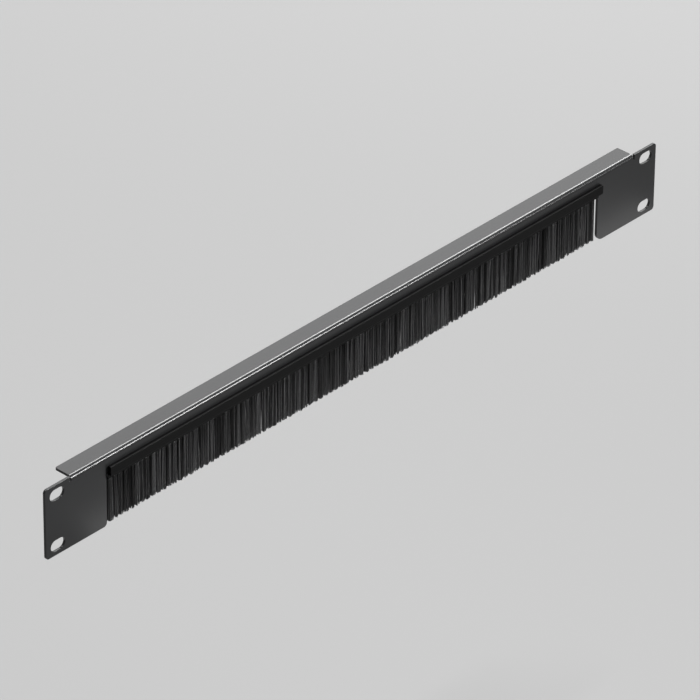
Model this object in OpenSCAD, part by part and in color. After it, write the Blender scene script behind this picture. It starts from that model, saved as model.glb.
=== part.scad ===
// Rack brush strip panel, 1U, 19 inch.
// X runs along the panel, Y to the rear of the rack, Z up. The origin is the centre
// of the rack bolt pattern, on the rear face of the ears.

/* [Panel] */
// Width of the panel over both ears
panel_w = 482.6; // [476:0.1:500]
// Height of the panel
panel_h = 43.6; // [40:0.1:60]
// Thickness of the folded sheet
sheet_t = 1.5; // [1:0.1:2]
// Radius of the outer corners of the ears
corner_r = 2; // [0.5:0.1:4]

/* [Rack slots] */
// Distance from each end of the panel to the centres of its slots
slot_edge = 8.75; // [7:0.05:12]
// Distance between the lower and upper slots
slot_pitch_z = 31.75; // [30:0.05:33]
// Length of a slot from end to end
slot_l = 10.5; // [8:0.1:12]
// Height of a slot
slot_h = 7; // [6:0.1:7.5]

/* [Top flange] */
// Distance from each end of the panel to the end of the flange
flange_end = 19.3; // [18:0.1:40]
// Depth of the flange, from the front face to its back edge
flange_d = 12; // [8:0.5:40]
// Inside radius of the bend
bend_r = 1; // [0.5:0.1:2]
// Radius of the flange's back corners
flange_corner_r = 0.8; // [0.3:0.1:4]
// Width of the relief slit at each end of the bend
relief_w = 0.9; // [0.6:0.1:2]
// Depth of the relief slit below the end of the bend
relief_d = 0.4; // [0.2:0.1:1.5]

/* [Cut-out] */
// Width of the left ear beside the cut-out
ear_left_w = 44.7; // [40:0.1:100]
// Width of the right ear beside the cut-out
ear_right_w = 49.1; // [40:0.1:100]
// Distance from the panel's top edge to the cut-out's top edge
cutout_drop = 11; // [10:0.1:16]
// Radius of the left ear's lower inner corner
ear_r_left = 2.2; // [0.5:0.1:8]
// Radius of the right ear's lower inner corner
ear_r_right = 5; // [0.5:0.1:8]

/* [Brush holder] */
// Thickness of each of the two lips that clip over the sheet
lip_t = 2; // [1.2:0.1:3]
// Reach of the lips above the edge of the sheet
lip_up = 4.4; // [3:0.1:6]
// Reach of the lips below the edge of the sheet
lip_down = 1.2; // [0.8:0.1:1.6]
// Radius of the lips' outer edges
lip_r = 0.5; // [0.2:0.1:0.9]
// How far the lips stop short of the cut-out's left edge
lip_short = 1.4; // [0:0.1:3]
// How far the lips run past the cut-out's right edge
lip_past = 2; // [0:0.1:4]
// Thickness of the web between the sheet's edge and the brush channel
web_t = 0.5; // [0.4:0.1:1]
// Thickness of the walls beside the brush channel
seat_wall = 0.5; // [0.4:0.1:0.8]
// Size of the hooks that hold the brush channel in
hook = 0.25; // [0.2:0.05:0.4]
// Space between the seat and each end of the cut-out
seat_gap = 0.4; // [0.2:0.1:1]
// Clearance between the pieces that slide together
fit = 0.05; // [0.03:0.01:0.1]

/* [Strip brush] */
// Width of the brush channel
channel_w = 2.5; // [2.4:0.1:3]
// Height of the brush channel
channel_h = 1.9; // [1.8:0.1:2.6]
// Thickness of the channel's sheet
channel_t = 0.35; // [0.3:0.05:0.4]
// Diameter of the core wire
wire_d = 0.6; // [0.4:0.1:0.7]
// Space between the brush and the cut-out's left edge
brush_gap_left = 0.5; // [0.4:0.1:2]
// Space between the brush and the cut-out's right edge
brush_gap_right = 2.2; // [0.4:0.1:4]
// Free length of the bristles below the holder
bristle_l = 27.8; // [15:0.1:60]
// Spread of the curtain to each side, in degrees
splay = 1.2; // [0:0.1:2.5]
// Width that one clump of bristles takes up
tuft_pitch = 4; // [3:0.1:8]
// Narrowing of a clump towards its tips
tuft_gather = 0.12; // [0.05:0.01:0.4]
// Unevenness of the tips
tip_spread = 2; // [0.2:0.1:3]

/* [Hidden] */
$fn = 64;
// Overshoot of a cutter past the face that it cuts
over = 1;
// Strands that each clump splits into
strands = 3;
// Gap between two clumps where they leave the channel
tuft_gap = 0.1;
// Share of a strand's width that the V cut beside it takes at the tips
cut_share = 0.2;
// Heights of the shortest and longest V cuts, as shares of the bristles' free length
cut_short = 0.12;
cut_long = 0.4;
// Sides of the fold of a clump round the core wire
fold_sides = 8;

panel_top = panel_h / 2;
front_y = -sheet_t;
mid_y = -sheet_t / 2;
bend_out = bend_r + sheet_t;
bend_z = panel_top - bend_out;
flange_w = panel_w - 2 * flange_end;
flange_back = flange_d - sheet_t;
slot_pitch_x = panel_w - 2 * slot_edge;

cutout_left = -panel_w / 2 + ear_left_w;
cutout_right = panel_w / 2 - ear_right_w;
cutout_top = panel_top - cutout_drop;

lip_left = cutout_left + lip_short;
lip_right = cutout_right + lip_past;
lip_top = cutout_top + lip_up;
lip_bottom = cutout_top - lip_down;
clamp_w = sheet_t + 2 * fit + 2 * lip_t;

chamber_top = cutout_top - fit - web_t;
chamber_w = channel_w + 2 * fit;
channel_top = chamber_top - fit;
channel_bottom = channel_top - channel_h;
seat_w = chamber_w + 2 * seat_wall;
seat_bottom = channel_bottom - fit - hook;

brush_left = cutout_left + brush_gap_left;
brush_right = cutout_right - brush_gap_right;
// A clump fills the channel, less the clearance, on both sides of the wire
fold_out = channel_w / 2 - channel_t - fit;
fold_in = (wire_d / 2 + fit) / cos(180 / fold_sides);
wire_z = channel_top - channel_t - fit - fold_out;
tip_z = seat_bottom - bristle_l;
tuft_n = floor((brush_right - brush_left) / tuft_pitch);
tuft_step = (brush_right - brush_left) / tuft_n;
tuft_w = tuft_step - tuft_gap;

// Lays a profile drawn in Y and Z along the panel from x0 to x1
module along_x(x0, x1) {
    translate([x0, 0, 0]) rotate([90, 0, 90]) linear_extrude(x1 - x0) children();
}

// Lays an outline drawn in X and Z through the depth from y0 to y1
module through_y(y0, y1) {
    translate([0, y1, 0]) rotate([90, 0, 0]) linear_extrude(y1 - y0) children();
}

module rounded_square(x0, z0, x1, z1, r) {
    translate([x0 + r, z0]) square([x1 - x0 - 2 * r, z1 - z0]);
    translate([x0, z0 + r]) square([x1 - x0, z1 - z0 - 2 * r]);
    for (x = [x0 + r, x1 - r], z = [z0 + r, z1 - r]) translate([x, z]) circle(r);
}

// What a rounded corner takes off, for a corner at the origin whose sheet lies in +X +Y
module corner_waste(r) {
    difference() {
        translate([-over, -over]) square(r + over);
        translate([r, r]) circle(r);
    }
}

module slot() {
    reach = (slot_l - slot_h) / 2;
    square([2 * reach, slot_h], center = true);
    for (x = [-reach, reach]) translate([x, 0]) circle(d = slot_h);
}

module cutout() {
    translate([cutout_left, -panel_top - over]) {
        square([cutout_right - cutout_left, panel_top + over + cutout_top]);
    }
    translate([cutout_left, -panel_top]) mirror([1, 0]) corner_waste(ear_r_left);
    translate([cutout_right, -panel_top]) corner_waste(ear_r_right);
}

// The sheet's front below the bend, with the ears at full height beside it
module front_outline() {
    relief_z = bend_z - relief_d;
    relief_x = flange_w / 2 + relief_w;
    difference() {
        rounded_square(-panel_w / 2, -panel_top, panel_w / 2, panel_top, corner_r);
        translate([-relief_x, relief_z]) square([2 * relief_x, panel_top]);
        cutout();
        for (x = [-1, 1], z = [-1, 1]) {
            translate([x * slot_pitch_x / 2, z * slot_pitch_z / 2]) slot();
        }
    }
    translate([-flange_w / 2, relief_z]) square([flange_w, bend_z - relief_z]);
}

module bend_profile() {
    translate([bend_r, bend_z]) intersection() {
        difference() {
            circle(bend_out);
            circle(bend_r);
        }
        translate([-bend_out - over, 0]) square(bend_out + over);
    }
}

module flange_outline() {
    difference() {
        translate([-flange_w / 2, bend_r]) square([flange_w, flange_back - bend_r]);
        for (side = [0, 1]) mirror([side, 0]) {
            translate([flange_w / 2, flange_back]) rotate(180) corner_waste(flange_corner_r);
        }
    }
}

module panel() {
    color("#4b4c4f") {
        through_y(front_y, 0) front_outline();
        along_x(-flange_w / 2, flange_w / 2) bend_profile();
        translate([0, 0, panel_top - sheet_t]) linear_extrude(sheet_t) flange_outline();
    }
}

// Two lips that clip over the sheet's edge
module clamp_profile() {
    difference() {
        rounded_square(mid_y - clamp_w / 2, lip_bottom, mid_y + clamp_w / 2, lip_top, lip_r);
        translate([front_y - fit, cutout_top - fit]) square([sheet_t + 2 * fit, lip_up + 2 * over]);
        translate([mid_y - seat_w / 2, lip_bottom - over]) square([seat_w, over + chamber_top - lip_bottom]);
    }
}

// The part below the sheet's edge, with the chamber that the brush channel slides into
module seat_profile() {
    mouth_w = chamber_w - 2 * hook;
    difference() {
        translate([mid_y - seat_w / 2, seat_bottom]) square([seat_w, chamber_top - seat_bottom]);
        translate([mid_y - chamber_w / 2, seat_bottom + hook]) square([chamber_w, chamber_top]);
        translate([mid_y - mouth_w / 2, seat_bottom - over]) square([mouth_w, channel_h]);
    }
}

module brush_holder() {
    color("#161617") {
        along_x(lip_left, lip_right) clamp_profile();
        along_x(cutout_left + seat_gap, cutout_right - seat_gap) seat_profile();
    }
}

module brush_channel() {
    inner_w = channel_w - 2 * channel_t;
    color("#8b8e91") along_x(brush_left, brush_right) difference() {
        translate([mid_y - channel_w / 2, channel_bottom]) square([channel_w, channel_h]);
        translate([mid_y - inner_w / 2, channel_bottom - channel_t]) square([inner_w, channel_h]);
    }
}

module core_wire() {
    color("#9da0a3") along_x(brush_left, brush_right) translate([mid_y, wire_z]) circle(d = wire_d);
}

// Evenly spread values from 0 to 1 that look random along the brush
function scatter(i, seed) = let (v = (i + 1) * (0.618034 + 0.137 * seed) + 0.31 * seed) v - floor(v);

// Height of the tips: every clump is a little short or long, its outer strands most
function tip_of(i, k) = tip_z + tip_spread * (0.6 * scatter(i, 1) + 0.4 * scatter(3 * i + k, 2) - 0.5);

// The fold round the wire and the two legs that hang from it, before the strands are cut
module hairpin_profile() {
    reach = wire_z - tip_z + tip_spread;
    lean = reach * tan(splay);
    difference() {
        circle(fold_out, $fn = fold_sides);
        circle(fold_in, $fn = fold_sides);
        translate([-fold_out - over, -fold_out - over]) square([2 * (fold_out + over), fold_out + over]);
    }
    for (side = [-1, 1]) {
        polygon([
            [side * fold_in, 0], [side * fold_out, 0],
            [side * (fold_out + lean), -reach], [side * (fold_in + lean), -reach]
        ]);
    }
}

// One strand's tip and, except after the last strand, the head of the V cut beside it
function strand_points(i, k, x, w) = let (
    cut_z = tip_z + bristle_l * (cut_short + (cut_long - cut_short) * scatter(i + k, 5))
) [
    [x, tip_of(i, k)],
    [x + w * (1 - cut_share), tip_of(i, k + 1)],
    if (k < strands - 1) [x + w * (1 - cut_share / 2), cut_z]
];

// The outline of one clump from the front: strands that part in narrow V cuts
module tuft_outline(i) {
    tip_w = tuft_w * (1 - tuft_gather * scatter(i, 4));
    strand_w = tip_w / strands;
    first_x = tuft_gap * (scatter(i, 3) - 0.5) - tip_w / 2;
    polygon([
        [-tuft_w / 2, wire_z + fold_out], [-tuft_w / 2, seat_bottom],
        for (k = [0 : strands - 1]) each strand_points(i, k, first_x + k * strand_w, strand_w),
        [tuft_w / 2, seat_bottom], [tuft_w / 2, wire_z + fold_out]
    ]);
}

module tuft(i) {
    half_depth = fold_out + bristle_l;
    intersection() {
        along_x(-tuft_w / 2, tuft_w / 2) translate([mid_y, wire_z]) hairpin_profile();
        through_y(mid_y - half_depth, mid_y + half_depth) tuft_outline(i);
    }
}

module bristles() {
    color("#1b1b1c") for (i = [0 : tuft_n - 1]) {
        translate([brush_left + (i + 0.5) * tuft_step, 0, 0]) tuft(i);
    }
}

panel();
brush_holder();
brush_channel();
core_wire();
bristles();
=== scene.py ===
"""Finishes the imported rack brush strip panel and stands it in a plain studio."""
import math

import bpy
import numpy as np
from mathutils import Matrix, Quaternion, Vector

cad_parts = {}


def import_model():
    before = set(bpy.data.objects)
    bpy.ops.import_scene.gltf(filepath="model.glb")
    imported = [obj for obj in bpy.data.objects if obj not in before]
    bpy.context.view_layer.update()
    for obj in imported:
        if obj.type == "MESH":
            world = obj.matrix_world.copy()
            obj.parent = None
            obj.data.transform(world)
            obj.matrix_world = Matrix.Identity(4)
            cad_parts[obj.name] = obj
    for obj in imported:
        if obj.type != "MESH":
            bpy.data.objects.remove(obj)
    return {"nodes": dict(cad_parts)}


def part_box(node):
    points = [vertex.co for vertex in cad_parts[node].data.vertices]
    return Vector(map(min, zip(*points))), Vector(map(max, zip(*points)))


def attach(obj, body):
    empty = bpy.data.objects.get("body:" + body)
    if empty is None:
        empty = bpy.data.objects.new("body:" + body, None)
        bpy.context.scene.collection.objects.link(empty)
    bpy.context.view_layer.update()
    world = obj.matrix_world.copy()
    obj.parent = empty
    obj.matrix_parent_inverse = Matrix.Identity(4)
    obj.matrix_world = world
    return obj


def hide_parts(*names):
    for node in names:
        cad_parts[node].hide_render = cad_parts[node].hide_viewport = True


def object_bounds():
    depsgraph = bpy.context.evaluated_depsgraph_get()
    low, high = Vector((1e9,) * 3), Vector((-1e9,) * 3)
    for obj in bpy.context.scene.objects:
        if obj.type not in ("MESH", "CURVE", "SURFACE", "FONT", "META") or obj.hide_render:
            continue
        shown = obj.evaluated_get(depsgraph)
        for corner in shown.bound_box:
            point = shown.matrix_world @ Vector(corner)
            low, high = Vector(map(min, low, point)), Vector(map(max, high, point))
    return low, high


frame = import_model()
cad_low, cad_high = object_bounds()

MM = 0.001

# Camera, in degrees and metres: a long lens, to the left of the panel and above it
CAMERA_AZIMUTH = -47.205
CAMERA_ELEVATION = 32.997
CAMERA_ROLL = 0.548
CAMERA_DISTANCE = 3.4324
CAMERA_LENS = 326.17
CAMERA_AIM = Vector((-6.32, 2.41, -3.05)) * MM

# Bristles: clumps of strands in front and behind, and an even filling between them
CLUMP_PITCH = 4 * MM
STRANDS_PER_CLUMP = 5
FILAMENTS_PER_STRAND = 13
FILLING_PER_CLUMP = 40
STRAND_FILL = 0.9
ROOT_DEPTH = 1 * MM
BULGE = 0.6 * MM
WAVE = 0.05 * MM
BRISTLE_SEED = 7
BRISTLE_PIECES = 5

# Widths of a clump at its root and its tips, as shares of the clump pitch
ROOT_WIDTH = 0.75
TIP_WIDTH = 0.95

# Heights of the ends of the legs and the filling over the lowest point of the CAD bristles
LEG_RISE = 1.06 * MM
FILLING_RISE = 1.46 * MM

# One filament: its radius, its taper, and its painted shade, darker at the root under the holder
# and lighter towards the tip
FILAMENT_RADIUS = 0.1 * MM
FILAMENT_RINGS = 7
FILAMENT_SIDES = 3
TIP_TAPER = 0.8
PAINTED_SHADE_ALONG = (0.9, 2.6)

# Studio
FLOOR_SIZE = 5
FLOOR_GAP = 250 * MM
LAMP_CONE = 40


def math_node(tree, operation, first, second, clamp=False):
    """Joins two sockets, or a socket and a number, by one operation."""
    node = tree.nodes.new("ShaderNodeMath")
    node.operation = operation
    node.use_clamp = clamp
    for socket, value in zip(node.inputs, (first, second)):
        if isinstance(value, (int, float)):
            socket.default_value = value
        else:
            tree.links.new(value, socket)
    return node.outputs[0]


def noise(tree, scale, detail=2.0, stretch=(1, 1, 1)):
    """Noise over the object's own coordinates, drawn out along an axis by a low stretch."""
    place = tree.nodes.new("ShaderNodeTexCoord")
    mapping = tree.nodes.new("ShaderNodeMapping")
    mapping.inputs["Scale"].default_value = stretch
    tree.links.new(place.outputs["Object"], mapping.inputs["Vector"])
    node = tree.nodes.new("ShaderNodeTexNoise")
    node.inputs["Scale"].default_value = scale
    node.inputs["Detail"].default_value = detail
    tree.links.new(mapping.outputs["Vector"], node.inputs["Vector"])
    return node.outputs["Fac"]


def spread(tree, value, low, high):
    """Maps a value from 0..1 to low..high."""
    node = tree.nodes.new("ShaderNodeMapRange")
    node.inputs["To Min"].default_value = low
    node.inputs["To Max"].default_value = high
    tree.links.new(value, node.inputs["Value"])
    return node.outputs["Result"]


def tint(tree, value, dark, light):
    """A colour between dark and light."""
    node = tree.nodes.new("ShaderNodeMix")
    node.data_type = "RGBA"
    node.inputs["A"].default_value = (*dark, 1)
    node.inputs["B"].default_value = (*light, 1)
    tree.links.new(value, node.inputs["Factor"])
    return node.outputs["Result"]


def bump(tree, height, depth, edge_radius=0):
    """Surface relief of a depth in metres, over edges eased by edge_radius."""
    node = tree.nodes.new("ShaderNodeBump")
    node.inputs["Distance"].default_value = depth
    tree.links.new(height, node.inputs["Height"])
    if edge_radius:
        bevel = tree.nodes.new("ShaderNodeBevel")
        bevel.samples = 6
        bevel.inputs["Radius"].default_value = edge_radius
        tree.links.new(bevel.outputs["Normal"], node.inputs["Normal"])
    return node.outputs["Normal"]


def surface(name):
    """A new material's node tree and its main shader."""
    material = bpy.data.materials.new(name)
    material.use_nodes = True
    tree = material.node_tree
    return material, tree, tree.nodes["Principled BSDF"]


def powder_coat():
    """Dark grey powder coat: fine orange peel and slightly uneven gloss."""
    material, tree, shader = surface("powder_coat")
    cloud = noise(tree, 30, 3)
    grain = noise(tree, 1800, 2)
    colour = tint(tree, cloud, (0.016, 0.0163, 0.0168), (0.021, 0.0214, 0.022))
    tree.links.new(colour, shader.inputs["Base Color"])
    tree.links.new(spread(tree, grain, 0.2, 0.28), shader.inputs["Roughness"])
    tree.links.new(bump(tree, grain, 0.004 * MM, 0.25 * MM), shader.inputs["Normal"])
    shader.inputs["Specular IOR Level"].default_value = 0.22
    return material


def extruded_plastic():
    """Black plastic with faint lines along its length from the die."""
    material, tree, shader = surface("extruded_plastic")
    lines = noise(tree, 2500, 2, (0.01, 1, 1))
    colour = tint(tree, lines, (0.002, 0.002, 0.002), (0.004, 0.004, 0.004))
    tree.links.new(colour, shader.inputs["Base Color"])
    tree.links.new(spread(tree, lines, 0.38, 0.52), shader.inputs["Roughness"])
    tree.links.new(bump(tree, lines, 0.005 * MM, 0.2 * MM), shader.inputs["Normal"])
    shader.inputs["Specular IOR Level"].default_value = 0.04
    return material


def plated_steel(name, dark, light):
    """Zinc-plated steel, drawn along its length."""
    material, tree, shader = surface(name)
    streaks = noise(tree, 4000, 3, (0.02, 1, 1))
    tree.links.new(tint(tree, streaks, dark, light), shader.inputs["Base Color"])
    tree.links.new(spread(tree, streaks, 0.25, 0.45), shader.inputs["Roughness"])
    tree.links.new(bump(tree, streaks, 0.004 * MM), shader.inputs["Normal"])
    shader.inputs["Metallic"].default_value = 1
    return material


def nylon():
    """Black nylon, lighter or darker by the shade that each filament carries, which is partly
    random tone and partly painted highlights and painted shade.
    """
    material, tree, shader = surface("nylon")
    shade = tree.nodes.new("ShaderNodeAttribute")
    shade.attribute_name = "shade"
    # The light end of this tint gives the painted highlights on strands and the painted light
    # towards the tips
    colour = tint(tree, shade.outputs["Fac"], (0.003, 0.003, 0.003), (0.16, 0.16, 0.162))
    tree.links.new(colour, shader.inputs["Base Color"])
    tree.links.new(spread(tree, shade.outputs["Fac"], 0.5, 0.3), shader.inputs["Roughness"])
    shader.inputs["Specular IOR Level"].default_value = 0.1
    return material


def tube_faces(filaments):
    """Vertex indices of the sides and both ends of many equal tubes."""
    sides = FILAMENT_SIDES
    first = np.arange(filaments)[:, None, None] * FILAMENT_RINGS * sides
    ring = np.arange(FILAMENT_RINGS - 1)[None, :, None] * sides
    here = np.arange(sides)[None, None, :]
    after = (here + 1) % sides
    corners = (here, after, after + sides, here + sides)
    quads = np.stack([first + ring + corner for corner in corners], axis=-1).reshape(-1, 4)
    last = (FILAMENT_RINGS - 1) * sides
    base = np.arange(filaments)[:, None] * FILAMENT_RINGS * sides
    start = base + np.arange(sides)[::-1]
    end = base + last + np.arange(sides)
    return quads.tolist() + start.tolist() + end.tolist()


def tube_mesh(name, paths, shade):
    """One mesh of thin upright tubes along paths shaped (filament, ring, xyz)."""
    turn = np.arange(FILAMENT_SIDES) * 2 * math.pi / FILAMENT_SIDES
    radius = FILAMENT_RADIUS * np.linspace(1, TIP_TAPER, FILAMENT_RINGS)[:, None]
    around = np.stack([radius * np.cos(turn), radius * np.sin(turn), 0 * radius * turn], axis=-1)
    points = (paths[:, :, None, :] + around[None]).reshape(-1, 3)
    mesh = bpy.data.meshes.new(name)
    mesh.from_pydata(points.tolist(), [], tube_faces(len(paths)))
    mesh.shade_smooth()
    # Painted shade: each filament's colour runs darker at its root under the holder and lighter
    # towards its tip
    along = np.clip(shade[:, None] * np.linspace(*PAINTED_SHADE_ALONG, FILAMENT_RINGS), 0, 1)
    values = np.repeat(along.reshape(-1), FILAMENT_SIDES).astype(np.float32)
    mesh.attributes.new("shade", "FLOAT", "POINT").data.foreach_set("value", values)
    return mesh


def clump_grid():
    """The number of clumps along the brush, and their pitch."""
    low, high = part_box("bristles")
    clumps = round((high.x - low.x) / CLUMP_PITCH)
    return clumps, (high.x - low.x) / clumps


def root_heights(shape):
    """Heights of the filaments' roots, a little way up inside the holder."""
    return np.full(shape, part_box("brush_holder")[0].z + ROOT_DEPTH)


def filament_paths(rng, root, tip):
    """Slightly waved paths between roots and tips, both given as x, y and z arrays."""
    low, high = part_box("bristles")
    t = np.linspace(0, 1, FILAMENT_RINGS)
    shape = root[0].shape
    turns = rng.uniform(1.2, 2.2, shape)[..., None] * t + rng.random(shape)[..., None]
    wave = np.sin(2 * math.pi * turns) * WAVE * t
    x, y, z = (start[..., None] + (end - start)[..., None] * t for start, end in zip(root, tip))
    return np.stack([np.clip(x + wave, low.x, high.x), y + wave, z], axis=-1)


def across_clumps(rng, shape):
    """Places of roots and tips across a clump, in clump widths from its centre."""
    clumps, strands, _ = shape
    strand = (clumps, strands, 1)
    strand_x = (np.arange(strands)[None, :, None] + 0.5) / strands - 0.5
    place = strand_x + STRAND_FILL * (rng.uniform(-0.5, 0.5, shape) / strands)
    root_x = ROOT_WIDTH * place + rng.normal(0, 0.03, strand)
    tip_x = TIP_WIDTH * place + rng.normal(0, 0.05, strand)
    return root_x, tip_x + rng.normal(0, 0.03, (clumps, 1, 1))


def leg_filaments(rng, side):
    """Paths and shades of the clumped filaments in front (side -1) or behind (side 1)."""
    low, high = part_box("bristles")
    middle_y = (low.y + high.y) / 2
    clumps, pitch = clump_grid()
    shape = (clumps, STRANDS_PER_CLUMP, FILAMENTS_PER_STRAND)
    clump = (clumps, 1, 1)
    strand = (clumps, STRANDS_PER_CLUMP, 1)

    # The clumps behind stand between those in front
    root_x, tip_x = across_clumps(rng, shape)
    centre = low.x + (np.arange(clumps)[:, None, None] + (1 if side > 0 else 0.5)) * pitch

    # A clump bulges outwards at its middle
    root_y = side * rng.uniform(0.3, 0.9, shape) * MM
    bulge = side * BULGE * np.cos(math.pi * np.clip(tip_x, -0.5, 0.5))
    tip_y = root_y * 0.7 + bulge + rng.normal(0, 0.12, strand) * MM

    # A clump's end is slanted and rounded off
    tip_z = rng.uniform(-0.2, 0.2, clump) + rng.uniform(-0.2, 0.2, strand)
    tip_z = tip_z - rng.uniform(-0.2, 1.2, clump) * tip_x + 2.5 * np.abs(tip_x) ** 3
    tip_z = low.z + LEG_RISE + (tip_z + rng.uniform(-0.15, 0.15, shape)) * MM

    root = (centre + root_x * pitch, middle_y + root_y, root_heights(shape))
    tip = (centre + tip_x * pitch, middle_y + tip_y, tip_z)
    # Partly random tone of clump, strand and filament, partly painted light: the wide spread
    # gives light strands as painted highlights and dark strands as painted shade
    shade = rng.normal(-1.6, 0.1, clump) + rng.normal(0, 0.9, strand) + rng.normal(0, 0.3, shape)
    return filament_paths(rng, root, tip), np.exp(shade)


def filling_filaments(rng):
    """Paths and shades of the even filaments between the legs, coloured darker as painted shade
    between the clumps.
    """
    low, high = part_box("bristles")
    clumps, pitch = clump_grid()
    shape = (clumps, 1, FILLING_PER_CLUMP)
    in_clump = (np.arange(FILLING_PER_CLUMP) + rng.random(shape)) / FILLING_PER_CLUMP
    x = low.x + (np.arange(clumps)[:, None, None] + in_clump) * pitch
    y = (low.y + high.y) / 2 + rng.uniform(-0.3, 0.3, shape) * MM
    tip_z = low.z + FILLING_RISE + rng.uniform(-0.3, 0.3, shape) * MM
    # Painted shade: the filling is coloured darker, for the shadow between the clumps and behind
    # the legs
    shade = np.exp(rng.normal(-2.5, 0.5, shape))
    tip_x = x + rng.normal(0, 0.1, shape) * MM
    return filament_paths(rng, (x, y, root_heights(shape)), (tip_x, y, tip_z)), shade


def bristles():
    """The brush's filaments, in a few pieces side by side."""
    material = nylon()
    rng = np.random.default_rng(BRISTLE_SEED)
    layers = [leg_filaments(rng, -1), filling_filaments(rng), leg_filaments(rng, 1)]
    clumps, _ = clump_grid()
    paths = np.concatenate(
        [layer.reshape(clumps, -1, FILAMENT_RINGS, 3) for layer, _ in layers], axis=1)
    shade = np.concatenate([shades.reshape(clumps, -1) for _, shades in layers], axis=1)
    parts = zip(np.array_split(paths, BRISTLE_PIECES), np.array_split(shade, BRISTLE_PIECES))
    for number, (part, part_shade) in enumerate(parts, start=1):
        name = f"filaments_{number}"
        mesh = tube_mesh(name, part.reshape(-1, FILAMENT_RINGS, 3), part_shade.reshape(-1))
        mesh.materials.append(material)
        piece = bpy.data.objects.new(name, mesh)
        bpy.context.scene.collection.objects.link(piece)
        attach(piece, "root")
        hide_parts("bristles")


def finish_cad_nodes():
    """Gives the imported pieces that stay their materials."""
    finishes = {
        "panel": powder_coat(),
        "brush_holder": extruded_plastic(),
        "brush_channel": plated_steel("channel_steel", (0.33, 0.34, 0.35), (0.42, 0.43, 0.44)),
        "core_wire": plated_steel("wire_steel", (0.36, 0.37, 0.38), (0.46, 0.47, 0.48)),
    }
    for name, material in finishes.items():
        node = frame["nodes"][name]
        node.data.materials.clear()
        node.data.materials.append(material)


def shown_ray(tree):
    """1 for rays that show the background: from the camera, from gloss and through glass."""
    path = tree.nodes.new("ShaderNodeLightPath").outputs
    shown = math_node(tree, "ADD", path["Is Camera Ray"], path["Is Glossy Ray"], clamp=True)
    return math_node(tree, "ADD", shown, path["Is Transmission Ray"], clamp=True)


def floor():
    """A plain pale floor below the panel."""
    bpy.ops.mesh.primitive_plane_add(size=FLOOR_SIZE, location=(0, 0, cad_low.z - FLOOR_GAP))
    plane = bpy.context.object
    plane.name = "floor"
    material, tree, shader = surface("floor")
    colour = tint(tree, shown_ray(tree), (0.2, 0.2, 0.2), (0.3, 0.3, 0.3))
    tree.links.new(colour, shader.inputs["Base Color"])
    shader.inputs["Roughness"].default_value = 1
    shader.inputs["Specular IOR Level"].default_value = 0
    plane.data.materials.append(material)


def world():
    """Pale all round, and a dim even light."""
    made = bpy.data.worlds.new("studio")
    made.use_nodes = True
    tree = made.node_tree
    background = tree.nodes["Background"]
    background.inputs["Color"].default_value = (1, 1, 1, 1)
    tree.links.new(spread(tree, shown_ray(tree), 0.12, 0.62), background.inputs["Strength"])
    bpy.context.scene.world = made


def soft_light(name, aim, direction, distance, size, watts, cone=180):
    """A rectangular lamp that faces the point aim from a direction, its light held to a cone."""
    data = bpy.data.lights.new(name, "AREA")
    data.shape = "RECTANGLE"
    data.size, data.size_y = size
    data.energy = watts
    data.spread = math.radians(cone)
    lamp = bpy.data.objects.new(name, data)
    towards = Vector(direction).normalized()
    lamp.location = Vector(aim) + towards * distance
    lamp.rotation_mode = "QUATERNION"
    lamp.rotation_quaternion = towards.to_track_quat("Z", "Y")
    lamp.visible_camera = False
    bpy.context.scene.collection.objects.link(lamp)


def lights():
    """Lamps above, behind and in front, and a low strip for the ears' feet and the tips."""
    left_end = (cad_low.x, 0, cad_high.z)
    middle = (0, 0, 0)
    soft_light("key", left_end, (0.615, 0.141, 0.776), 4, (0.8, 2.2), 275)
    soft_light("back", middle, (0.615, 0.570, 0.545), 3, (1.8, 1.8), 32)
    soft_light("rim", middle, (-0.25, 0.570, 0.780), 3, (1, 1), 20)
    soft_light("front", left_end, (0.615, -0.730, 0.300), 2.2, (0.4, 0.4), 2.6, LAMP_CONE)
    soft_light("glow", (0.07, 0, -0.028), (0, -0.723, -0.691), 0.065, (0.46, 0.025), 0.05)


def camera():
    """The view of the panel from the left and above."""
    data = bpy.data.cameras.new("camera")
    data.sensor_width = 36
    data.lens = CAMERA_LENS
    data.clip_start = 0.1
    data.clip_end = 50
    made = bpy.data.objects.new("camera", data)
    azimuth, elevation, roll = map(math.radians, (CAMERA_AZIMUTH, CAMERA_ELEVATION, CAMERA_ROLL))
    back = Vector((math.sin(azimuth) * math.cos(elevation),
                   -math.cos(azimuth) * math.cos(elevation),
                   math.sin(elevation)))
    made.location = CAMERA_AIM + back * CAMERA_DISTANCE
    made.rotation_mode = "QUATERNION"
    made.rotation_quaternion = back.to_track_quat("Z", "Y") @ Quaternion((0, 0, 1), roll)
    bpy.context.scene.collection.objects.link(made)
    bpy.context.scene.camera = made


camera()
finish_cad_nodes()
bristles()
floor()
world()
lights()
bpy.context.scene.view_settings.view_transform = "Standard"
